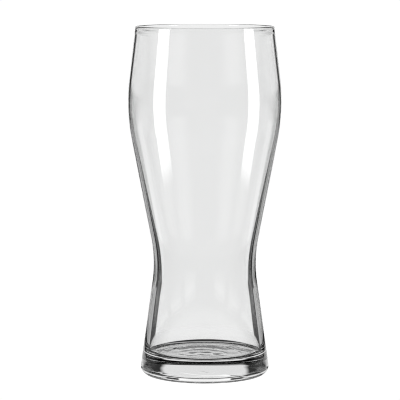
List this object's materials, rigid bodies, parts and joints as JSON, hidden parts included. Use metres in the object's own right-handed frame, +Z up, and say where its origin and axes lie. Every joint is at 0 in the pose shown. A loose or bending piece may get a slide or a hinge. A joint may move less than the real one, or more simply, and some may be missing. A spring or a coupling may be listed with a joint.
{
  "type": "pint glass",
  "caption": "Tall clear beer glass with a waisted body, a rounded shoulder below a fire-polished rim, a flat cavity floor with a rounded edge and a thick solid base.",
  "frame": {"origin": "centre of the standing ring, on the surface that the glass stands on", "axes": "+Z up along the axis of revolution, from the foot to the mouth; +X and +Y are equivalent"},
  "size_m": [0.0834, 0.0834, 0.19],
  "materials": {
    "glass": "clear colourless soda-lime glass, fire-polished"
  },
  "bodies": {
    "root": {"glass_body": "glass"}
  },
  "joints": []
}
